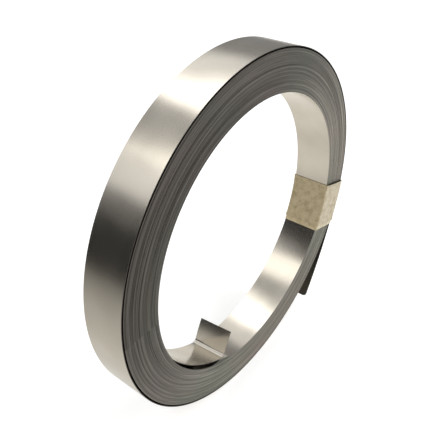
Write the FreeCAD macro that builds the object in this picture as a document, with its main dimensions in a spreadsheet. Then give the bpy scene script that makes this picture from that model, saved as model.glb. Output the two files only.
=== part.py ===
"""Wound roll of nickel plated steel strip, bound with one wrap of paper tape.

The roll's axis is +Y and it stands on its rim: the origin is on the floor, under the
middle of the roll. Angles are seen from the front (-Y) end, anticlockwise from +X.
"""

import FreeCAD, Part
import math
import os

import Sketcher

from FreeCAD import Placement, Rotation, Vector

document = FreeCAD.newDocument("strip_roll")

# ---------------------------------------------------------------- driving sizes (mm, degrees)

SIZES = {
    # the strip and the wound ring
    "strip_width": 20,
    "strip_thickness": 0.3,
    "outer_radius": 88,
    "bore_radius": 68.7,
    # turn lines on both end faces; the last one is behind the outermost turn
    "turn_count": 61,
    "turns_per_line": 5,
    "turn_line_width": 0.15,
    "turn_line_depth": 0.3,
    "outer_line_depth": 1,
    # the strip's inner end: it lifts off the bore, comes back to it and is folded into a tab
    "foot_root_angle": -159,
    "foot_root_depth": 0.6,
    "foot_arc_radius": 110,
    "fold_angle": -113,
    "fold_clearance": 0.3,
    "bend_radius": 1,
    "tab_lean": 3,
    "tab_length": 12.6,
    # the strip's outer end, which springs away from the roll below the tape
    "tail_root_angle": -16.5,
    "tail_root_depth": 0.35,
    "tail_lift": 4,
    "tail_arc_radius": 170,
    "tail_length": 64,
    # the paper tape, wrapped once round the roll's section
    "tape_angle": -17,
    "tape_width": 27.5,
    "tape_thickness": 0.3,
    "tape_clearance": 0.3,
    "tape_corner_radius": 0.5,
}

sheet = document.addObject("Spreadsheet::Sheet", "Sizes")
for row, (alias, value) in enumerate(SIZES.items(), start=1):
    sheet.set(f"A{row}", alias)
    sheet.set(f"B{row}", str(value))
    sheet.setAlias(f"B{row}", alias)
document.recompute()


def size(expression):
    """The number that an expression of sheet cells gives, such as 'Sizes.strip_width / 2'."""
    return float(sheet.evalExpression(expression))


# ---------------------------------------------------------------- helpers


def add_sketch(body, name, plane_role):
    plane = next(item for item in body.Origin.OriginFeatures if item.Role == plane_role)
    sketch = body.newObject("Sketcher::SketchObject", name)
    sketch.AttachmentSupport = [(plane, "")]
    sketch.MapMode = "FlatFace"
    return sketch


def bind(sketch, kind, geometry, name, expression):
    """Add a dimension to a sketch and tie it to the sheet."""
    index = sketch.addConstraint(Sketcher.Constraint(kind, *geometry, size(expression)))
    sketch.renameConstraint(index, name)
    sketch.setExpression(f"Constraints.{name}", expression)


def add_rectangle(sketch, name, left, bottom, width, height):
    """A rectangle whose four sizes are expressions; left and bottom are measured from the origin."""
    corner = Vector(size(left), size(bottom), 0)
    across = Vector(size(width), 0, 0)
    along = Vector(0, size(height), 0)
    points = [corner, corner + across, corner + across + along, corner + along]
    lines = [
        sketch.addGeometry(Part.LineSegment(points[side], points[(side + 1) % 4]), False)
        for side in range(4)
    ]
    for side in range(4):
        sketch.addConstraint(Sketcher.Constraint("Coincident", lines[side], 2, lines[(side + 1) % 4], 1))
        direction = "Horizontal" if side % 2 == 0 else "Vertical"
        sketch.addConstraint(Sketcher.Constraint(direction, lines[side]))
    bind(sketch, "DistanceX", (-1, 1, lines[0], 1), f"{name}_left", left)
    bind(sketch, "DistanceY", (-1, 1, lines[0], 1), f"{name}_bottom", bottom)
    bind(sketch, "DistanceX", (lines[0], 1, lines[0], 2), f"{name}_width", width)
    bind(sketch, "DistanceY", (lines[1], 1, lines[1], 2), f"{name}_height", height)


def revolve(body, kind, name, sketch, angle):
    """Turn a sketch of the body's XY plane about the body's Y axis, clockwise seen from the front."""
    feature = body.newObject(f"PartDesign::{kind}", name)
    feature.Profile = sketch
    feature.ReferenceAxis = (sketch, ["V_Axis"])
    feature.setExpression("Angle", angle)
    return feature


def on_front(radius, angle, centre=Vector()):
    """The point at a radius and an angle of the front view, about a centre."""
    turn = math.radians(angle)
    return centre + Vector(radius * math.cos(turn), 0, radius * math.sin(turn))


def facing(centre, angle):
    """A placement at a centre whose X axis points along an angle of the front view."""
    return Placement(centre, Rotation(Vector(0, 1, 0), -angle))


def angle_of(vector):
    return math.degrees(math.atan2(vector.z, vector.x))


# ---------------------------------------------------------------- the wound turns

roll_centre = Vector(0, 0, size("Sizes.outer_radius"))

wound_turns = document.addObject("PartDesign::Body", "wound_turns")
wound_turns.Label = "wound_turns"
ring_section = add_sketch(wound_turns, "ring_section", "XY_Plane")
add_rectangle(
    ring_section,
    "ring",
    left="Sizes.bore_radius",
    bottom="-Sizes.strip_width / 2",
    width="Sizes.outer_radius - Sizes.bore_radius",
    height="Sizes.strip_width",
)
revolve(wound_turns, "Revolution", "ring", ring_section, "360")

# Lines between the turns, cut into the front end face and mirrored to the back one.
line_sections = add_sketch(wound_turns, "turn_line_sections", "XY_Plane")
turn_pitch = "(Sizes.outer_radius - Sizes.bore_radius) / Sizes.turn_count"
line_count = int(size("(Sizes.turn_count - 1) / Sizes.turns_per_line"))
for line in range(1, line_count + 1):
    outermost = line == line_count
    turns_outside = 1 if outermost else f"(Sizes.turn_count - {line} * Sizes.turns_per_line)"
    add_rectangle(
        line_sections,
        f"line_{line}",
        left=f"Sizes.outer_radius - {turns_outside} * {turn_pitch} - Sizes.turn_line_width / 2",
        bottom="-Sizes.strip_width / 2",
        width="Sizes.turn_line_width",
        height="Sizes.outer_line_depth" if outermost else "Sizes.turn_line_depth",
    )
turn_lines = revolve(wound_turns, "Groove", "turn_lines", line_sections, "360")
back_lines = wound_turns.newObject("PartDesign::Mirrored", "back_turn_lines")
back_lines.Originals = [turn_lines]
back_lines.MirrorPlane = (line_sections, ["H_Axis"])
wound_turns.Tip = back_lines
wound_turns.setExpression("Placement.Base.z", "Sizes.outer_radius")


# ---------------------------------------------------------------- the strip's two loose ends


def strip_section(body, name, outer_face_radius):
    """The strip's own section, with its outer face at a radius from the body's Y axis."""
    section = add_sketch(body, name, "XY_Plane")
    add_rectangle(
        section,
        "strip",
        left=f"{outer_face_radius} - Sizes.strip_thickness",
        bottom="-Sizes.strip_width / 2",
        width="Sizes.strip_thickness",
        height="Sizes.strip_width",
    )
    return section


# The foot runs clockwise from the fold, across the bore, into the wall.
fold_point = on_front(
    size("Sizes.bore_radius - Sizes.fold_clearance"), size("Sizes.fold_angle"), roll_centre
)
foot_root_point = on_front(
    size("Sizes.bore_radius + Sizes.foot_root_depth"), size("Sizes.foot_root_angle"), roll_centre
)
foot_radius = size("Sizes.foot_arc_radius")
foot_chord = fold_point - foot_root_point
half_chord = foot_chord.Length / 2
middle = (fold_point + foot_root_point) / 2
foot_centre = on_front(
    math.sqrt(foot_radius**2 - half_chord**2), angle_of(foot_chord) + 90, middle
)
foot_sweep = 2 * math.degrees(math.asin(half_chord / foot_radius))
fold_direction = angle_of(fold_point - foot_centre)

inner_foot = document.addObject("PartDesign::Body", "inner_foot")
inner_foot.Label = "inner_foot"
foot_section = strip_section(inner_foot, "foot_section", "Sizes.foot_arc_radius")
revolve(inner_foot, "Revolution", "foot", foot_section, f"{foot_sweep}")
inner_foot.Placement = facing(foot_centre, fold_direction)

# The tab stands up from the fold, towards the roll's centre.
bend_outer_radius = "(Sizes.bend_radius + Sizes.strip_thickness)"
tab_direction = size("Sizes.fold_angle") + 180 - size("Sizes.tab_lean")
bend_turn = (tab_direction - fold_direction - 90) % 360
bend_centre = fold_point - on_front(size(bend_outer_radius), fold_direction)

folded_tab = document.addObject("PartDesign::Body", "folded_tab")
folded_tab.Label = "folded_tab"
tab_section = strip_section(folded_tab, "tab_section", bend_outer_radius)
tab_flat = folded_tab.newObject("PartDesign::Pad", "tab_flat")
tab_flat.Profile = tab_section
tab_flat.setExpression("Length", "Sizes.tab_length")
bend_section = strip_section(folded_tab, "bend_section", bend_outer_radius)
revolve(folded_tab, "Revolution", "tab_bend", bend_section, f"{bend_turn}")
folded_tab.Placement = facing(bend_centre, tab_direction - 90)

# The tail leaves the outermost turn at a slight angle and opens into a wider arc.
tail_root_point = on_front(
    size("Sizes.outer_radius - Sizes.tail_root_depth"), size("Sizes.tail_root_angle"), roll_centre
)
tail_direction = size("Sizes.tail_root_angle + Sizes.tail_lift")
tail_centre = tail_root_point - on_front(size("Sizes.tail_arc_radius"), tail_direction)

outer_tail = document.addObject("PartDesign::Body", "outer_tail")
outer_tail.Label = "outer_tail"
tail_section = strip_section(outer_tail, "tail_section", "Sizes.tail_arc_radius")
revolve(
    outer_tail,
    "Revolution",
    "tail",
    tail_section,
    "Sizes.tail_length / Sizes.tail_arc_radius * 180 / pi",
)
outer_tail.Placement = facing(tail_centre, tail_direction)

# The wound turns and both loose ends are one strip, so they are one solid.
strip_roll = document.addObject("Part::MultiFuse", "strip_roll")
strip_roll.Label = "strip_roll"
strip_roll.Shapes = [wound_turns, inner_foot, folded_tab, outer_tail]


# ---------------------------------------------------------------- the paper tape


def tail_radius_at(angle):
    """The distance from the roll's axis to the tail's outer face, at an angle of the front view."""
    offset = tail_centre - roll_centre
    turn = math.radians(angle_of(offset) - angle)
    across = offset.Length * math.sin(turn)
    return offset.Length * math.cos(turn) + math.sqrt(size("Sizes.tail_arc_radius") ** 2 - across**2)


# The outer panel is one arc: it starts on the roll and opens as much as the tail below it needs.
tape_sweep = size("Sizes.tape_width / Sizes.bore_radius * 180 / pi")
tape_top = size("Sizes.tape_angle") + tape_sweep / 2
tape_bottom = size("Sizes.tape_angle") - tape_sweep / 2
top_radius = size("Sizes.outer_radius + Sizes.tape_clearance")
bottom_radius = max(tail_radius_at(tape_bottom) + size("Sizes.tape_clearance"), top_radius)
panel_shift = (bottom_radius**2 - top_radius**2) / (
    2 * (bottom_radius * math.cos(math.radians(tape_sweep)) - top_radius)
)
panel_centre = on_front(panel_shift, tape_top, roll_centre)
panel_radius = top_radius - panel_shift


def add_cylinder(name, centre, radius, length, start_angle=0, sweep=360):
    """A cylinder, or a sector of one, whose axis runs front to back through a centre."""
    cylinder = document.addObject("Part::Cylinder", name)
    cylinder.Placement = facing(centre, start_angle) * Placement(Vector(), Rotation(Vector(1, 0, 0), 90))
    cylinder.Angle = sweep
    cylinder.Radius = size(radius)
    cylinder.setExpression("Radius", radius)
    cylinder.setExpression("Height", length)
    cylinder.setExpression("Placement.Base.y", f"({length}) / 2")
    return cylinder


def combine(kind, name, base, tool):
    result = document.addObject(f"Part::{kind}", name)
    result.Base = base
    result.Tool = tool
    return result


inside_length = "Sizes.strip_width + 2 * Sizes.tape_clearance"
outside_length = f"{inside_length} + 2 * Sizes.tape_thickness"
tape_sector = add_cylinder(
    "tape_sector", roll_centre, "2 * Sizes.outer_radius", outside_length, tape_bottom, tape_sweep
)
tape_outside = add_cylinder(
    "tape_outside", panel_centre, f"{panel_radius} + Sizes.tape_thickness", outside_length
)
tape_bore_side = add_cylinder(
    "tape_bore_side",
    roll_centre,
    "Sizes.bore_radius - Sizes.tape_clearance - Sizes.tape_thickness",
    outside_length,
)
tape_wedge = combine("Common", "tape_wedge", tape_sector, tape_outside)
tape_block = combine("Cut", "tape_block", tape_wedge, tape_bore_side)
document.recompute()

# The tape's four long corners, where it turns from one side of the roll to the next.
corner_radius = size("Sizes.tape_corner_radius")
rounded_tape = document.addObject("Part::Fillet", "rounded_tape")
rounded_tape.Base = tape_block
rounded_tape.Edges = [
    (number, corner_radius, corner_radius)
    for number, edge in enumerate(tape_block.Shape.Edges, start=1)
    if isinstance(edge.Curve, Part.Circle)
]

# The space inside the tape, which holds the roll's section and the root of its tail.
space_outside = add_cylinder("space_outside", panel_centre, f"{panel_radius}", inside_length)
space_bore_side = add_cylinder(
    "space_bore_side", roll_centre, "Sizes.bore_radius - Sizes.tape_clearance", inside_length
)
tape_space = combine("Cut", "tape_space", space_outside, space_bore_side)
tape_band = combine("Cut", "tape_band", rounded_tape, tape_space)
tape_band.Label = "tape_band"


# ---------------------------------------------------------------- check and export

document.recompute()
for item in document.Objects:
    if "Invalid" in item.State or "Error" in item.State:
        raise RuntimeError(f"{item.Label} failed: {item.State}")

full_ring = math.pi * size(
    "(Sizes.outer_radius ^ 2 - Sizes.bore_radius ^ 2) * Sizes.strip_width"
)
if not 0.9 * full_ring < wound_turns.Shape.Volume < full_ring:
    raise RuntimeError("the turn lines have not been cut into the ring")

os.makedirs("parts", exist_ok=True)
for node in (strip_roll, tape_band):
    shape = node.Shape
    if shape.isNull() or not shape.isValid() or len(shape.Solids) != 1:
        raise RuntimeError(f"{node.Label} is not one valid solid")
    shape.exportStep(f"parts/{node.Label}.step")
    print(node.Label, round(shape.Volume / 1000, 2), "cm3", shape.BoundBox)
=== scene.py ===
import bpy
import math
import random
import time
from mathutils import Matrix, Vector


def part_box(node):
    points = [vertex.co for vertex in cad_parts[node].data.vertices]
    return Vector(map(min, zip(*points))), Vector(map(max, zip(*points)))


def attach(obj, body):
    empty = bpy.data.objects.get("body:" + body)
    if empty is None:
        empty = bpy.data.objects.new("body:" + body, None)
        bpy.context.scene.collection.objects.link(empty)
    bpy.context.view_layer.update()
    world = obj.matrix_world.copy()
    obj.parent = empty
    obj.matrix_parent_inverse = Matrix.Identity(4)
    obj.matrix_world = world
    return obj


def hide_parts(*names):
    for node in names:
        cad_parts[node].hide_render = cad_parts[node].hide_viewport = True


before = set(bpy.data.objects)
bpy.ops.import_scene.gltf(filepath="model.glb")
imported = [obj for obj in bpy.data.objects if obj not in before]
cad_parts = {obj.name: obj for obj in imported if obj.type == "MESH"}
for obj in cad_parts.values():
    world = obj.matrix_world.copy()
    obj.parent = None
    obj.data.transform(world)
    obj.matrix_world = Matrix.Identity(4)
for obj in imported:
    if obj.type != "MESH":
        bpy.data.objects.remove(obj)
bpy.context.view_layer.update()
startTime = time.time()


def report(stage):
    print(f"{stage}: {time.time() - startTime:.1f} s")


def mm(value):
    return value / 1000


def deselectAll():
    bpy.ops.object.select_all(action="DESELECT")


def onlySelect(*objects):
    deselectAll()
    for item in objects:
        item.select_set(True)
    bpy.context.view_layer.objects.active = objects[0]


def applyModifier(item, kind, **settings):
    onlySelect(item)
    modifier = item.modifiers.new(kind.title(), kind)
    for name, value in settings.items():
        setattr(modifier, name, value)
    bpy.ops.object.modifier_apply(modifier=modifier.name)


def selectPoints(item, wanted):
    # selects the points that a test picks, and what lies between them, and goes back to edit mode
    if bpy.context.mode != "OBJECT":
        bpy.ops.object.mode_set(mode="OBJECT")
    mesh = item.data
    for point in mesh.vertices:
        point.select = wanted(point.co)
    for edge in mesh.edges:
        edge.select = all(mesh.vertices[i].select for i in edge.vertices)
    for face in mesh.polygons:
        face.select = all(mesh.vertices[i].select for i in face.vertices)
    bpy.ops.object.mode_set(mode="EDIT")


# the roll's place and size come from the frame
rollLow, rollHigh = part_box("strip_roll")
centreZ = (rollLow.z + rollHigh.z) / 2
outerRadius = (rollHigh.z - rollLow.z) / 2


def onFront(radius, angle, centre=(0, centreZ)):
    # a point of the front view, its angle anticlockwise from +X
    turn = math.radians(angle)
    return centre[0] + radius * math.cos(turn), centre[1] + radius * math.sin(turn)


def onFrontVector(angle):
    return math.cos(math.radians(angle)), 0, math.sin(math.radians(angle))


# the wound strip, all but its two loose ends
strip = {
    "width": rollHigh.y - rollLow.y,
    "thickness": mm(0.3),
    "boreRadius": mm(68.7),
    "turns": 60,               # full turns between the two loose ends
    "rootAngle": -156,         # where the innermost turn becomes the foot
    "tailAngle": -14,          # where the outermost turn springs away
    "loosened": mm(0.75),      # gap behind the outermost turn
    "halfSteps": 144,          # facets in half a turn
    "weld": mm(0.02),          # points nearer than this become one
    "smooth": 30,              # edges sharper than this in degrees stay sharp
}

# the inner end: a foot along the bore, a fold and a tab
innerEnd = {
    "footSteps": 48,           # facets along the foot
    "foldAngle": -114.2,       # the foot lies along the bore from its root to here
    "lift": mm(2.8),           # the front edge of the foot off the bore
    "liftPower": 2.5,          # how early along the foot that lift is reached
    "skew": mm(2.4),           # the fold runs back by this at its front end
    "skewStart": 0.75,         # the share of the foot before which it isn't skewed
    "bendRadius": mm(2.2),     # inside the fold
    "bendTurn": 93,            # degrees from the foot to the tab
    "bendSteps": 24,
    "tabLength": mm(11.9),
    "tabCurve": 9,             # degrees that the tab curves back from the fold to its end
    "tabSteps": 8,
    "pressed": mm(2.3),        # the turns' front edges are pushed in by this beside the fold
    "pressedSpread": 6,        # degrees to either side
    "pressedDepth": mm(3),     # and outwards into the turns
}

# the outer end, which springs away from the roll
tail = {
    "radius": mm(225),         # of the arc that it makes
    "length": mm(68),
    "corner": mm(2),           # its rounded corners
    "steps": 36,               # facets along it
    "cornerSteps": 8,
}

# how the turns' edges wander sideways
wandering = {
    "seed": 11,
    "single": mm(0.045),       # one turn against the next
    "changes": 2.3,            # how often that changes in one turn
    "bundle": mm(0.07),        # a few turns against the next few
    "bundleTurns": 4,
    "strays": 9,               # turns that stand out by themselves
    "proud": mm(0.16),         # and by how much
    "strayTurns": 0.8,         # turns over which a stray comes back in line
}

midRadius = strip["boreRadius"] + strip["thickness"] / 2
pitch = (outerRadius - strip["loosened"] - strip["thickness"] - strip["boreRadius"]) / strip["turns"]


def startEdge(name, radius, angle):
    # one edge as long as the strip is wide, standing for the strip's section
    x, z = onFront(radius, angle)
    deselectAll()
    bpy.ops.mesh.primitive_plane_add(size=1, location=(x, 0, z), rotation=(0, math.radians(-angle), 0))
    item = bpy.context.object
    item.name = name
    item.scale = (strip["thickness"], strip["width"], 1)
    bpy.ops.object.transform_apply(location=True, rotation=True, scale=True)
    selectPoints(item, lambda co: math.hypot(co.x, co.z - centreZ) < radius)
    bpy.ops.mesh.delete(type="VERT")
    bpy.ops.mesh.select_all(action="SELECT")
    x, z = onFront(-strip["thickness"] / 2, angle, (0, 0))
    bpy.ops.transform.translate(value=(x, 0, z))
    return item


def bend(centre, degrees, steps):
    # carries the selected edge on round a centre; positive is clockwise from the front
    bpy.ops.mesh.spin(steps=steps, angle=math.radians(-degrees), center=(centre[0], 0, centre[1]),
                      axis=(0, 1, 0), use_auto_merge=False)


def windArc(start, end, angle, degrees, steps):
    # winds half a turn from one radius to another, or any turn where both radii are the same
    bend(onFront((start - end) / 2, angle), degrees, steps)


def makeTurns():
    # half circles about two centres, half a pitch apart, meet in an even spiral
    root = strip["rootAngle"]
    turns = startEdge("woundStrip", midRadius, root)
    bpy.ops.object.mode_set(mode="OBJECT")
    stepX, stepZ = onFront(pitch, root, (0, 0))
    applyModifier(turns, "ARRAY", count=strip["turns"] - 1, use_relative_offset=False,
                  use_constant_offset=True, constant_offset_displace=(stepX, 0, stepZ))
    bpy.ops.object.mode_set(mode="EDIT")
    bpy.ops.mesh.select_all(action="SELECT")
    windArc(0, pitch / 2, root, 180, strip["halfSteps"])
    windArc(0, pitch / 2, root + 180, 180, strip["halfSteps"])
    bpy.ops.object.mode_set(mode="OBJECT")
    return turns


def makeOuterEnd():
    # the last turn, which has sprung open, and the loose tail that leaves it
    root, half = strip["rootAngle"], strip["halfSteps"]
    inside = midRadius + (strip["turns"] - 1) * pitch
    outside = outerRadius - strip["thickness"] / 2
    outerEnd = startEdge("outerEnd", inside, root)
    windArc(inside, inside + pitch / 2, root, 180, half)
    windArc(inside + pitch / 2, outside, root + 180, 180, half)
    remaining = 360 + root - strip["tailAngle"]
    windArc(outside, outside, root, remaining, round(half * remaining / 180))
    radius, length, corner = tail["radius"], tail["length"], tail["corner"]
    centre = onFront(outside - radius, strip["tailAngle"])
    bend(centre, math.degrees((length - corner) / radius), tail["steps"])
    bend(centre, math.degrees(corner / radius), tail["cornerSteps"])
    bpy.ops.object.mode_set(mode="OBJECT")
    # the corners are rounded by how much of the tail's arc is left
    endAngle = math.radians(strip["tailAngle"]) - length / radius
    for point in outerEnd.data.vertices:
        x, z = point.co.x - centre[0], point.co.z - centre[1]
        left = (math.atan2(z, x) - endAngle) * radius
        if math.hypot(x, z) >= radius - strip["thickness"] and left < corner:
            cut = corner - math.sqrt(max(0, corner ** 2 - (corner - left) ** 2))
            point.co.y -= math.copysign(cut, point.co.y)
    return outerEnd


def frontShare(point):
    # 1 at the strip's front edge and 0 at its back edge
    return 0.5 - point.co.y / strip["width"]


def frontAngle(point):
    return math.degrees(math.atan2(point.co.z - centreZ, point.co.x))


def makeInnerEnd():
    # the foot, which lies along the bore, the fold and the tab
    root, fold = strip["rootAngle"], innerEnd["foldAngle"]
    item = startEdge("innerEnd", midRadius, root)
    bend((0, centreZ), root - fold, innerEnd["footSteps"])
    bendRadius = innerEnd["bendRadius"] + strip["thickness"] / 2
    bend(onFront(midRadius - bendRadius, fold), -innerEnd["bendTurn"], innerEnd["bendSteps"])
    direction = fold + 90 + innerEnd["bendTurn"]
    for _ in range(innerEnd["tabSteps"]):
        direction -= innerEnd["tabCurve"] / innerEnd["tabSteps"]
        x, z = onFront(innerEnd["tabLength"] / innerEnd["tabSteps"], direction, (0, 0))
        bpy.ops.mesh.extrude_region_move(TRANSFORM_OT_translate={"value": (x, 0, z)})
    bpy.ops.object.mode_set(mode="OBJECT")
    # the front edge stands off the bore, more and more up to the fold, which is skewed
    for point in item.data.vertices:
        angle = min(fold, frontAngle(point))
        along = max(0, (angle - root) / (fold - root))
        front = frontShare(point)
        lift = front * innerEnd["lift"] * (1 - (1 - along) ** innerEnd["liftPower"])
        x, z = onFront(lift, angle + 180, (0, 0))
        skewed = max(0, along - innerEnd["skewStart"]) / (1 - innerEnd["skewStart"])
        skew = innerEnd["skew"] * front * skewed
        backX, backZ = onFront(skew, fold - 90, (0, 0))
        point.co.x += x + backX
        point.co.z += z + backZ
    return item


def pressIn(item):
    # beside the fold the front edges of the inner turns are pushed towards the axis
    for point in item.data.vertices:
        radius = math.hypot(point.co.x, point.co.z - centreZ)
        depth = max(0, radius - strip["boreRadius"]) / innerEnd["pressedDepth"]
        aside = (frontAngle(point) - innerEnd["foldAngle"]) / innerEnd["pressedSpread"]
        pressed = innerEnd["pressed"] * math.exp(-aside ** 2 - depth) * max(0, frontShare(point))
        factor = 1 - pressed / radius
        point.co.x *= factor
        point.co.z = centreZ + (point.co.z - centreZ) * factor


def makeWander():
    # the strip's sideways place at any number of turns from the root
    chance = random.Random(wandering["seed"])
    turns = strip["turns"]
    singleKnots = [chance.uniform(-1, 1) for _ in range(3 * turns)]
    bundleKnots = [chance.uniform(-1, 1) for _ in range(turns)]
    strays = [(chance.uniform(2, turns - 2), chance.choice((-1, 1))) for _ in range(wandering["strays"])]

    def between(knots, place):
        index = int(place)
        share = place - index
        share = share * share * (3 - 2 * share)
        return knots[index] * (1 - share) + knots[index + 1] * share

    def wander(turn):
        offset = wandering["single"] * between(singleKnots, turn * wandering["changes"])
        offset += wandering["bundle"] * between(bundleKnots, turn / wandering["bundleTurns"])
        for place, side in strays:
            offset += side * wandering["proud"] * max(0, 1 - ((turn - place) / wandering["strayTurns"]) ** 2)
        return offset

    return wander


def markPaintedShade(item, shadedSlot):
    # the inner face of the outermost turn and its tail, and the faces that meet under the foot, get a nickel
    # darkened as painted shade for these gaps
    behindOutermost = outerRadius - 1.5 * strip["thickness"]
    nearBore = mm(0.1)
    for face in item.data.polygons:
        x, z = face.center.x, face.center.z - centreZ
        radius = math.hypot(x, z)
        outward = (face.normal.x * x + face.normal.z * z) / radius
        besideFoot = strip["rootAngle"] < math.degrees(math.atan2(z, x)) < innerEnd["foldAngle"]
        offBore = radius - strip["boreRadius"]
        if outward < -0.5 and radius > behindOutermost:
            face.material_index = shadedSlot
        elif besideFoot and offBore < nearBore and (outward > 0.5 or offBore > -nearBore):
            face.material_index = shadedSlot


def makeStrip():
    wander = makeWander()
    turns = makeTurns()
    for point in turns.data.vertices:
        radius = math.hypot(point.co.x, point.co.z - centreZ)
        travel = (strip["rootAngle"] - frontAngle(point)) % 360 / 360
        turn = round((radius - midRadius) / pitch - travel) + travel
        point.co.y += wander(max(0, turn))
    pressIn(turns)
    ends = ((makeInnerEnd(), 0), (makeOuterEnd(), strip["turns"] - 1))
    for item, turn in ends:
        for point in item.data.vertices:
            point.co.y += wander(turn)
    onlySelect(turns, *(item for item, turn in ends))
    bpy.ops.object.join()
    bpy.ops.object.mode_set(mode="EDIT")
    bpy.ops.mesh.select_all(action="SELECT")
    bpy.ops.mesh.remove_doubles(threshold=strip["weld"])
    bpy.ops.mesh.normals_make_consistent(inside=False)
    bpy.ops.object.mode_set(mode="OBJECT")
    print(f"strip: {len(turns.data.vertices)} points before it has thickness")
    turns.data.materials.clear()
    turns.data.materials.append(makeNickel("satinNickel", nickel["satin"]))
    turns.data.materials.append(makeCutEdge())
    # the third material is nickel darkened as painted shade for the gaps
    turns.data.materials.append(makeNickel("dullShadedNickel", nickel["dull"]))
    edgeSlot, shadedSlot = 1, 2
    applyModifier(turns, "SOLIDIFY", thickness=strip["thickness"], offset=0, use_even_offset=True,
                  material_offset_rim=edgeSlot)
    markPaintedShade(turns, shadedSlot)
    onlySelect(turns)
    bpy.ops.object.shade_smooth_by_angle(angle=math.radians(strip["smooth"]))
    report("strip wound")
    return turns


# the paper tape, two layers round the roll's section
tape = {
    "angle": -16,              # the middle of the tape
    "width": mm(28.2),
    "paper": mm(0.2),          # one layer
    "layerRise": mm(0.23),     # from the middle of one layer to the next
    "offFaces": mm(0.42),      # from the strip's edges on both end faces
    "offSurfaces": mm(0.12),   # from the bore and the outermost turn
    "corner": mm(0.9),
    "cornerSteps": 5,
    "mesh": mm(0.42),          # size of one facet
    "underlap": 2.2,           # degrees that the under layer shows below the upper one
    "underStart": 0.4,         # degrees that it starts below the upper one's top edge
    "crinkle": mm(0.09),       # depth of the crinkles
    "crinkleSize": mm(1.6),
    "topGap": mm(0.7),         # the upper edge stands off the front face by this
    "topReach": mm(4),         # and comes back to it over this
    "topDip": mm(0.24),        # in the bore the upper layer's top edge comes down by this
    "curl": mm(0.3),           # the upper layer's lower edge stands off the layer below
    "curlReach": mm(3),
    "stretch": 4,              # how late across the roll the tape starts to reach out to the tail
    "underLightness": 1.22,    # of the lower layer, against the upper one
    "smooth": 40,
}


def makeTapeOutline(name, inner, outer, depth, angle):
    # the roll's section at one angle with rounded corners, as a loop of edges, all selected
    x, z = onFront((inner + outer) / 2, angle)
    deselectAll()
    bpy.ops.mesh.primitive_plane_add(size=1, location=(x, 0, z), rotation=(0, math.radians(-angle), 0))
    item = bpy.context.object
    item.name = name
    item.scale = (outer - inner, depth, 1)
    bpy.ops.object.transform_apply(location=True, rotation=True, scale=True)
    bpy.ops.object.mode_set(mode="EDIT")
    bpy.ops.mesh.select_all(action="SELECT")
    bpy.ops.mesh.bevel(offset=tape["corner"], segments=tape["cornerSteps"], affect="VERTICES")
    bpy.ops.mesh.select_all(action="SELECT")
    bpy.ops.mesh.delete(type="ONLY_FACE")
    # the long sides are cut as finely as the corners
    bpy.ops.object.mode_set(mode="OBJECT")
    for edge in item.data.edges:
        start, end = [item.data.vertices[i].co for i in edge.vertices]
        edge.select = (start - end).length > 2 * tape["corner"]
    bpy.ops.object.mode_set(mode="EDIT")
    bpy.ops.mesh.select_mode(type="EDGE")
    bpy.ops.mesh.subdivide(number_cuts=round((outer - inner) / tape["mesh"]))
    bpy.ops.mesh.select_mode(type="VERT")
    bpy.ops.mesh.select_all(action="SELECT")
    return item


def makeTapeLayer(name, layer, topAngle, bottomAngle):
    # one wrap round the section, turned about the roll's axis
    rise = layer * tape["layerRise"]
    inner = strip["boreRadius"] - tape["offSurfaces"] - rise
    outer = outerRadius + tape["offSurfaces"] + rise
    item = makeTapeOutline(name, inner, outer, strip["width"] + 2 * (tape["offFaces"] + rise), topAngle)
    sweep = topAngle - bottomAngle
    bend((0, centreZ), sweep, round(math.radians(sweep) * inner / tape["mesh"]))
    bpy.ops.mesh.select_all(action="SELECT")
    bpy.ops.mesh.normals_make_consistent(inside=False)
    bpy.ops.object.mode_set(mode="OBJECT")
    followTail(item, topAngle, bottomAngle, layer)
    crinkle(item)
    applyModifier(item, "SOLIDIFY", thickness=tape["paper"], offset=0)
    return item


def tailRise(angle):
    # how far the tail's outer face stands off the roll at an angle of the front view
    turn = math.radians(strip["tailAngle"] - angle)
    if turn <= 0:
        return 0
    radius = tail["radius"] + strip["thickness"] / 2
    shift = radius - outerRadius
    return math.sqrt(radius ** 2 - (shift * math.sin(turn)) ** 2) - shift * math.cos(turn) - outerRadius


def fade(degrees, reach):
    # 1 at an edge of the tape and 0 from the given distance on, measured in the bore
    return max(0, 1 - math.radians(degrees) * strip["boreRadius"] / reach) ** 2


def followTail(item, topAngle, bottomAngle, layer):
    # the outer panel lies on the tail, and the panels beside it stretch out to meet it
    for point in item.data.vertices:
        radius = math.hypot(point.co.x, point.co.z - centreZ)
        angle = frontAngle(point)
        nearTop = fade(topAngle - angle, tape["topReach"])
        curl = tape["curl"] * fade(angle - bottomAngle, tape["curlReach"]) * layer
        # the tape is as wide outside as it is in the bore
        angle = tape["angle"] + (angle - tape["angle"]) * strip["boreRadius"] / radius
        depth = (radius - strip["boreRadius"]) / (outerRadius - strip["boreRadius"])
        inRoll = min(1, max(0, depth))
        if depth < 0:
            radius += tape["topDip"] * layer * nearTop - curl
        else:
            bulge = math.sqrt(math.sin(math.pi * inRoll))
            point.co.y += math.copysign(curl + tape["topGap"] * nearTop * bulge, point.co.y)
        point.co.x, point.co.z = onFront(radius + inRoll ** tape["stretch"] * tailRise(angle), angle)


def crinkle(item):
    texture = bpy.data.textures.new(item.name + "Crinkle", "CLOUDS")
    texture.noise_scale = tape["crinkleSize"]
    texture.noise_depth = 3
    applyModifier(item, "DISPLACE", texture=texture, texture_coords="LOCAL", strength=tape["crinkle"],
                  mid_level=0.5)


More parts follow.
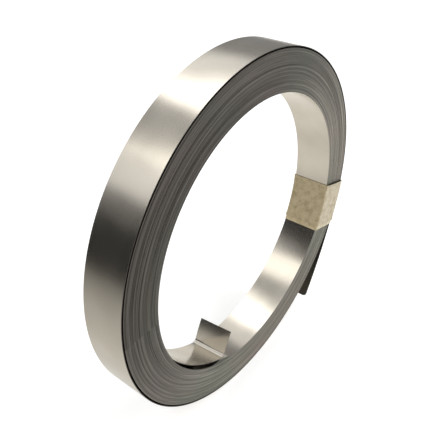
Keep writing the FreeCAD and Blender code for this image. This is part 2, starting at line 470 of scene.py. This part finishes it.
def makeTape():
    half = math.degrees(tape["width"] / 2 / strip["boreRadius"])
    top, bottom = tape["angle"] + half, tape["angle"] - half
    upper = makeTapeLayer("tapeUpper", 1, top, bottom + tape["underlap"])
    under = makeTapeLayer("tapeUnder", 0, top - tape["underStart"], bottom)
    upper.data.materials.clear()
    under.data.materials.clear()
    upper.data.materials.append(makePaper("crepePaper", 1))
    under.data.materials.append(makePaper("crepePaperUnder", tape["underLightness"]))
    onlySelect(upper, under)
    bpy.ops.object.join()
    upper.name = "paperTape"
    bpy.ops.object.shade_smooth_by_angle(angle=math.radians(tape["smooth"]))
    report(f"tape wrapped, {len(upper.data.polygons)} faces")
    return upper


def newMaterial(name):
    material = bpy.data.materials.new(name)
    material.use_nodes = True
    nodes = material.node_tree.nodes
    return material, nodes, material.node_tree.links, nodes["Principled BSDF"]


def addNode(nodes, kind, inputs=(), **settings):
    node = nodes.new(kind)
    for name, value in settings.items():
        setattr(node, name, value)
    for name, value in dict(inputs).items():
        node.inputs[name].default_value = value
    return node


def rollCoordinates(nodes, links):
    # the place on the roll as distance from its axis, angle round it and place across the strip
    place = addNode(nodes, "ShaderNodeTexCoord")
    centred = addNode(nodes, "ShaderNodeMapping", {"Location": (0, 0, -centreZ)})
    links.new(place.outputs["Object"], centred.inputs["Vector"])
    parts = addNode(nodes, "ShaderNodeSeparateXYZ")
    links.new(centred.outputs["Vector"], parts.inputs["Vector"])
    squareX = addNode(nodes, "ShaderNodeMath", operation="MULTIPLY")
    squareZ = addNode(nodes, "ShaderNodeMath", operation="MULTIPLY")
    for square, axis in ((squareX, "X"), (squareZ, "Z")):
        links.new(parts.outputs[axis], square.inputs[0])
        links.new(parts.outputs[axis], square.inputs[1])
    total = addNode(nodes, "ShaderNodeMath", operation="ADD")
    links.new(squareX.outputs[0], total.inputs[0])
    links.new(squareZ.outputs[0], total.inputs[1])
    radius = addNode(nodes, "ShaderNodeMath", operation="SQRT")
    links.new(total.outputs[0], radius.inputs[0])
    angle = addNode(nodes, "ShaderNodeMath", operation="ARCTAN2")
    links.new(parts.outputs["Z"], angle.inputs[0])
    links.new(parts.outputs["X"], angle.inputs[1])
    rolled = addNode(nodes, "ShaderNodeCombineXYZ")
    links.new(radius.outputs[0], rolled.inputs["X"])
    links.new(parts.outputs["Y"], rolled.inputs["Y"])
    links.new(angle.outputs[0], rolled.inputs["Z"])
    return {"rolled": rolled.outputs[0], "radius": radius.outputs[0]}


def ramp(nodes, stops, brightness=1):
    # the stops are pairs of a place and a colour
    node = nodes.new("ShaderNodeValToRGB")
    while len(node.color_ramp.elements) < len(stops):
        node.color_ramp.elements.new(0.5)
    for element, (place, colour) in zip(node.color_ramp.elements, stops):
        element.position = place
        element.color = (*(brightness * part for part in colour), 1)
    return node


# the nickel, with rolling marks along the strip and a slow blotchiness
nickel = {
    "satin": (1, 0.19, 0.235),   # brightness, then the roughness of the smoothest and roughest spots
    # the dull finish's brightness of 0.13 is painted shade for the gaps behind the outermost turn and under
    # the foot; its roughness is the metal's own
    "dull": (0.13, 0.4, 0.5),
    "colours": ((0.3, (0.59, 0.55, 0.48)), (0.7, (0.67, 0.625, 0.55))),
    "blotches": 60.0,            # in a metre
    "marks": (1, 9000, 3),       # how close together outwards, across the strip and along it
    "markStrength": 0.03,
    "markDepth": mm(0.02),
}


def makeNickel(name, finish):
    brightness, smoothest, roughest = finish
    material, nodes, links, shader = newMaterial(name)
    shader.inputs["Metallic"].default_value = 1
    marks = addNode(nodes, "ShaderNodeMapping", {"Scale": nickel["marks"]})
    links.new(rollCoordinates(nodes, links)["rolled"], marks.inputs["Vector"])
    lines = addNode(nodes, "ShaderNodeTexNoise", {"Scale": 1.0, "Detail": 3.0, "Roughness": 0.6})
    links.new(marks.outputs[0], lines.inputs["Vector"])
    place = addNode(nodes, "ShaderNodeTexCoord")
    blotch = addNode(nodes, "ShaderNodeTexNoise", {
        "Scale": nickel["blotches"], "Detail": 1.5, "Roughness": 0.5})
    links.new(place.outputs["Object"], blotch.inputs["Vector"])
    tone = ramp(nodes, nickel["colours"], brightness)
    links.new(blotch.outputs["Fac"], tone.inputs["Fac"])
    links.new(tone.outputs["Color"], shader.inputs["Base Color"])
    dull = addNode(nodes, "ShaderNodeMapRange", {"To Min": smoothest, "To Max": roughest})
    links.new(blotch.outputs["Fac"], dull.inputs["Value"])
    links.new(dull.outputs[0], shader.inputs["Roughness"])
    bump = addNode(nodes, "ShaderNodeBump", {
        "Strength": nickel["markStrength"], "Distance": nickel["markDepth"]})
    links.new(lines.outputs["Fac"], bump.inputs["Height"])
    links.new(bump.outputs[0], shader.inputs["Normal"])
    return material


# the strip's slit edges, which make up both end faces of the roll
cutEdge = {
    "streaks": (1100, 0, 0.8),   # how close together outwards, across and along
    # the edges' own grey, darkened with painted shade for the thin gaps between the turns
    "colours": ((0.28, (0.06, 0.059, 0.056)), (0.5, (0.15, 0.146, 0.138)), (0.74, (0.34, 0.33, 0.31))),
    "litSideAngle": -50,           # painted light: the edges are brighter towards this side of the front view, and darker away from it, painted shade
    "litSideReach": (-0.7, 0.6),   # from and to, in outer radii
    "brightness": (0.66, 1.8),   # of the most shaded and the most lit part, painted shade and painted light
    "patches": 22.0,             # of tint, in a metre
    "tints": ((0.38, (0.94, 1.0, 0.93)), (0.62, (1.06, 0.99, 0.98))),
    "roughness": 0.5,
}


def makeCutEdge():
    material, nodes, links, shader = newMaterial("slitEdge")
    shader.inputs["Metallic"].default_value = 1
    stretch = addNode(nodes, "ShaderNodeMapping", {"Scale": cutEdge["streaks"]})
    links.new(rollCoordinates(nodes, links)["rolled"], stretch.inputs["Vector"])
    streaks = addNode(nodes, "ShaderNodeTexNoise", {"Scale": 1.0, "Detail": 4.0, "Roughness": 0.75})
    links.new(stretch.outputs[0], streaks.inputs["Vector"])
    tone = ramp(nodes, cutEdge["colours"])
    links.new(streaks.outputs["Fac"], tone.inputs["Fac"])
    # painted light and shade: the edges are brighter towards the lower right of the front view and darker
    # towards the upper left; they also slowly change in tint
    place = addNode(nodes, "ShaderNodeTexCoord")
    litSide = onFrontVector(cutEdge["litSideAngle"])
    across = addNode(nodes, "ShaderNodeVectorMath", {1: litSide}, operation="DOT_PRODUCT")
    links.new(place.outputs["Object"], across.inputs[0])
    mostShaded, leastDarkened = [centreZ * litSide[2] + part * outerRadius for part in cutEdge["litSideReach"]]
    darkest, brightest = cutEdge["brightness"]
    paintedLight = addNode(nodes, "ShaderNodeMapRange", {
        "From Min": mostShaded, "From Max": leastDarkened, "To Min": darkest, "To Max": brightest},
        interpolation_type="SMOOTHSTEP")
    links.new(across.outputs["Value"], paintedLight.inputs["Value"])
    scaled = addNode(nodes, "ShaderNodeVectorMath", operation="SCALE")
    links.new(tone.outputs["Color"], scaled.inputs[0])
    links.new(paintedLight.outputs[0], scaled.inputs["Scale"])
    patches = addNode(nodes, "ShaderNodeTexNoise", {"Scale": cutEdge["patches"], "Detail": 2.0})
    links.new(place.outputs["Object"], patches.inputs["Vector"])
    tint = ramp(nodes, cutEdge["tints"])
    links.new(patches.outputs["Fac"], tint.inputs["Fac"])
    tinted = addNode(nodes, "ShaderNodeVectorMath", operation="MULTIPLY")
    links.new(scaled.outputs[0], tinted.inputs[0])
    links.new(tint.outputs["Color"], tinted.inputs[1])
    links.new(tinted.outputs[0], shader.inputs["Base Color"])
    shader.inputs["Roughness"].default_value = cutEdge["roughness"]
    return material


# mottled crepe paper
paper = {
    "colours": ((0.3, (0.42, 0.355, 0.235)), (0.5, (0.60, 0.53, 0.39)), (0.72, (0.70, 0.64, 0.49))),
    "mottling": 300.0,                   # in a metre
    "stainAndShade": (0.9, 0.84, 0.7),           # the paper in the bore is browned and darkened by this, partly a stain and partly painted shade
    "stainAndShadeReach": (mm(-0.2), mm(0.8)),   # and less so between these, outwards from the bore
    "fibres": 1600.0,
    "fibreStrength": 0.5,
    "fibreDepth": mm(0.05),
    "roughness": 0.8,
}


def makePaper(name, lightness):
    material, nodes, links, shader = newMaterial(name)
    place = addNode(nodes, "ShaderNodeTexCoord")
    mottle = addNode(nodes, "ShaderNodeTexNoise", {
        "Scale": paper["mottling"], "Detail": 5.0, "Roughness": 0.7})
    links.new(place.outputs["Object"], mottle.inputs["Vector"])
    tone = ramp(nodes, paper["colours"], lightness)
    links.new(mottle.outputs["Fac"], tone.inputs["Fac"])
    # the paper in the bore is browned and darkened: partly a stain, partly painted shade
    mostStainedAndShaded, leastDarkened = [strip["boreRadius"] + part for part in paper["stainAndShadeReach"]]
    inside = addNode(nodes, "ShaderNodeMapRange", {
        "From Min": mostStainedAndShaded, "From Max": leastDarkened, "To Min": 1.0, "To Max": 0.0})
    links.new(rollCoordinates(nodes, links)["radius"], inside.inputs["Value"])
    stainAndShade = addNode(nodes, "ShaderNodeMix", data_type="RGBA", blend_type="MULTIPLY")
    links.new(inside.outputs[0], stainAndShade.inputs[0])
    links.new(tone.outputs["Color"], stainAndShade.inputs[6])
    stainAndShade.inputs[7].default_value = (*paper["stainAndShade"], 1)
    links.new(stainAndShade.outputs[2], shader.inputs["Base Color"])
    shader.inputs["Roughness"].default_value = paper["roughness"]
    bump = addNode(nodes, "ShaderNodeBump", {
        "Strength": paper["fibreStrength"], "Distance": paper["fibreDepth"]})
    fibre = addNode(nodes, "ShaderNodeTexNoise", {"Scale": paper["fibres"], "Detail": 3.0})
    links.new(place.outputs["Object"], fibre.inputs["Vector"])
    links.new(fibre.outputs["Fac"], bump.inputs["Height"])
    links.new(bump.outputs[0], shader.inputs["Normal"])
    return material


# the white studio, in metres
studio = {
    "worldGrey": 0.6,          # how bright the white background is as a lamp
    "camera": (-0.1686, -0.1182, 0.2416),
    "aim": (0.6421, 0.4908, -0.5889),
    "lens": 42.66,
    "nearest": 0.01,           # what is nearer than this isn't drawn
    # direction from the roll in degrees, anticlockwise from +X and up, then distance, width, height,
    # brightness, colour and whether the metal shows it
    "lamps": {
        "rightLamp": (60, 59, 0.9, 0.5, 0.28, 1.7, (1, 0.99, 0.97), True),
        "leftLamp": (139, 51, 0.9, 0.38, 0.26, 1.07, (1, 0.97, 0.9), True),
        "paperLamp": (-50, 35, 1.4, 1.0, 0.8, 3.2, (1, 1, 1), False),
    },
    # the same up to the height, then how bright the metal sees the card
    "cards": {
        "darkCard": (150, -2, 0.8, 0.6, 0.5, 0.03),
        "duskCard": (150, 8, 0.86, 0.56, 0.62, 0.14),
        "darkCorner": (163, 27, 0.8, 0.34, 0.46, 0.02),
        "gapCard": (104, 57, 1.3, 0.6, 0.74, 0.46),
        "rightCard": (32, 12, 1.4, 1.1, 1.0, 0.27),
        "frontCard": (-120, 25, 1.5, 2.4, 1.5, 0.12),
    },
    "floorSize": 6,
    "floorColour": (0.9, 0.9, 0.9),
    "floorRoughness": 0.9,
    "floorLift": 0.48,         # its own glow, for the camera and the metal
    # how bright the metal sees it, painted shade that darkens the floor's reflections towards the back left:
    # distance out in the direction of floorTurn, and grey
    "floorPaintedShade": ((-0.2, 0.74), (0.08, 0.7), (0.2, 0.46), (0.33, 0.31), (0.62, 0.055), (1.6, 0.05)),
    "floorTint": (1, 0.98, 0.93),
    "floorTurn": 140,
}


def toward(azimuth, elevation, distance):
    flat = distance * math.cos(math.radians(elevation))
    return (flat * math.cos(math.radians(azimuth)), flat * math.sin(math.radians(azimuth)),
            centreZ + distance * math.sin(math.radians(elevation)))


def faceRoll(item):
    back = Vector(item.location) - Vector((0, 0, centreZ))
    item.rotation_mode = "QUATERNION"
    item.rotation_quaternion = back.to_track_quat("Z", "Y")


def emissive(name, strength):
    material = bpy.data.materials.new(name)
    material.use_nodes = True
    nodes = material.node_tree.nodes
    nodes.clear()
    glow = addNode(nodes, "ShaderNodeEmission", {"Strength": strength, "Color": (1, 1, 1, 1)})
    output = addNode(nodes, "ShaderNodeOutputMaterial")
    material.node_tree.links.new(glow.outputs[0], output.inputs["Surface"])
    return material


def seenRays(nodes, links):
    # 1 for what the camera sees, straight or in a gloss, and 0 for light that falls on things
    path = addNode(nodes, "ShaderNodeLightPath")
    total = None
    for name in ("Is Camera Ray", "Is Glossy Ray", "Is Transmission Ray"):
        if total is None:
            total = path.outputs[name]
            continue
        either = addNode(nodes, "ShaderNodeMath", operation="MAXIMUM")
        links.new(total, either.inputs[0])
        links.new(path.outputs[name], either.inputs[1])
        total = either.outputs[0]
    return total


def makeFloor():
    # the floor is white to the camera; the metal sees it fall off towards the back left, a painted shade in
    # its reflections
    deselectAll()
    bpy.ops.mesh.primitive_plane_add(size=studio["floorSize"], location=(0, 0, 0))
    floor = bpy.context.object
    floor.name = "floor"
    material, nodes, links, shader = newMaterial("paleFloor")
    place = addNode(nodes, "ShaderNodeTexCoord")
    turn = addNode(nodes, "ShaderNodeMapping", {"Rotation": (0, 0, math.radians(-studio["floorTurn"]))})
    links.new(place.outputs["Object"], turn.inputs["Vector"])
    parts = addNode(nodes, "ShaderNodeSeparateXYZ")
    links.new(turn.outputs[0], parts.inputs[0])
    first, last = studio["floorPaintedShade"][0][0], studio["floorPaintedShade"][-1][0]
    share = addNode(nodes, "ShaderNodeMapRange", {"From Min": first, "From Max": last})
    links.new(parts.outputs["X"], share.inputs["Value"])
    grey = ramp(nodes, [((stop - first) / (last - first), [tone * part for part in studio["floorTint"]])
                        for stop, tone in studio["floorPaintedShade"]])
    links.new(share.outputs[0], grey.inputs["Fac"])
    path = addNode(nodes, "ShaderNodeLightPath")
    shade = addNode(nodes, "ShaderNodeMix", data_type="RGBA")
    links.new(path.outputs["Is Glossy Ray"], shade.inputs[0])
    shade.inputs[6].default_value = (*studio["floorColour"], 1)
    links.new(grey.outputs["Color"], shade.inputs[7])
    links.new(shade.outputs[2], shader.inputs["Base Color"])
    shader.inputs["Roughness"].default_value = studio["floorRoughness"]
    shader.inputs["Specular IOR Level"].default_value = 0
    lift = addNode(nodes, "ShaderNodeMath", {1: studio["floorLift"]}, operation="MULTIPLY")
    links.new(seenRays(nodes, links), lift.inputs[0])
    links.new(shade.outputs[2], shader.inputs["Emission Color"])
    links.new(lift.outputs[0], shader.inputs["Emission Strength"])
    floor.data.materials.append(material)


def makeCards():
    # only the metal sees them
    for name, (azimuth, elevation, distance, width, height, grey) in studio["cards"].items():
        bpy.ops.mesh.primitive_plane_add(size=1, location=toward(azimuth, elevation, distance))
        card = bpy.context.object
        card.name = name
        faceRoll(card)
        card.scale = (width, height, 1)
        card.data.materials.append(emissive(name, grey))
        card.visible_camera = False
        card.visible_diffuse = False
        card.visible_shadow = False
        card.visible_transmission = False


def makeLamps():
    for name, values in studio["lamps"].items():
        azimuth, elevation, distance, width, height, radiance, colour, shown = values
        data = bpy.data.lights.new(name, "AREA")
        data.shape = "RECTANGLE"
        data.size, data.size_y = width, height
        data.energy = radiance * width * height * math.pi
        data.color = colour
        lamp = bpy.data.objects.new(name, data)
        bpy.context.scene.collection.objects.link(lamp)
        lamp.location = toward(azimuth, elevation, distance)
        faceRoll(lamp)
        lamp.visible_camera = False
        lamp.visible_glossy = shown


def makeWorld():
    world = bpy.data.worlds.new("studioWorld")
    world.use_nodes = True
    bpy.context.scene.world = world
    nodes, links = world.node_tree.nodes, world.node_tree.links
    background = nodes["Background"]
    background.inputs["Color"].default_value = (1, 1, 1, 1)
    strength = addNode(nodes, "ShaderNodeMapRange", {"To Min": studio["worldGrey"], "To Max": 1.0})
    links.new(seenRays(nodes, links), strength.inputs["Value"])
    links.new(strength.outputs[0], background.inputs["Strength"])


def makeCamera():
    data = bpy.data.cameras.new("camera")
    data.lens = studio["lens"]
    data.clip_start = studio["nearest"]
    camera = bpy.data.objects.new("camera", data)
    bpy.context.scene.collection.objects.link(camera)
    camera.location = studio["camera"]
    camera.rotation_mode = "QUATERNION"
    camera.rotation_quaternion = Vector(studio["aim"]).to_track_quat("-Z", "Y")
    bpy.context.scene.camera = camera


def makeStudio():
    makeFloor()
    makeCards()
    makeLamps()
    makeWorld()
    makeCamera()
    bpy.context.scene.view_settings.view_transform = "Standard"
    report("studio set")


woundStrip = makeStrip()
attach(woundStrip, "root")
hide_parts("strip_roll")

paperTape = makeTape()
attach(paperTape, "root")
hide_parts("tape_band")

makeStudio()
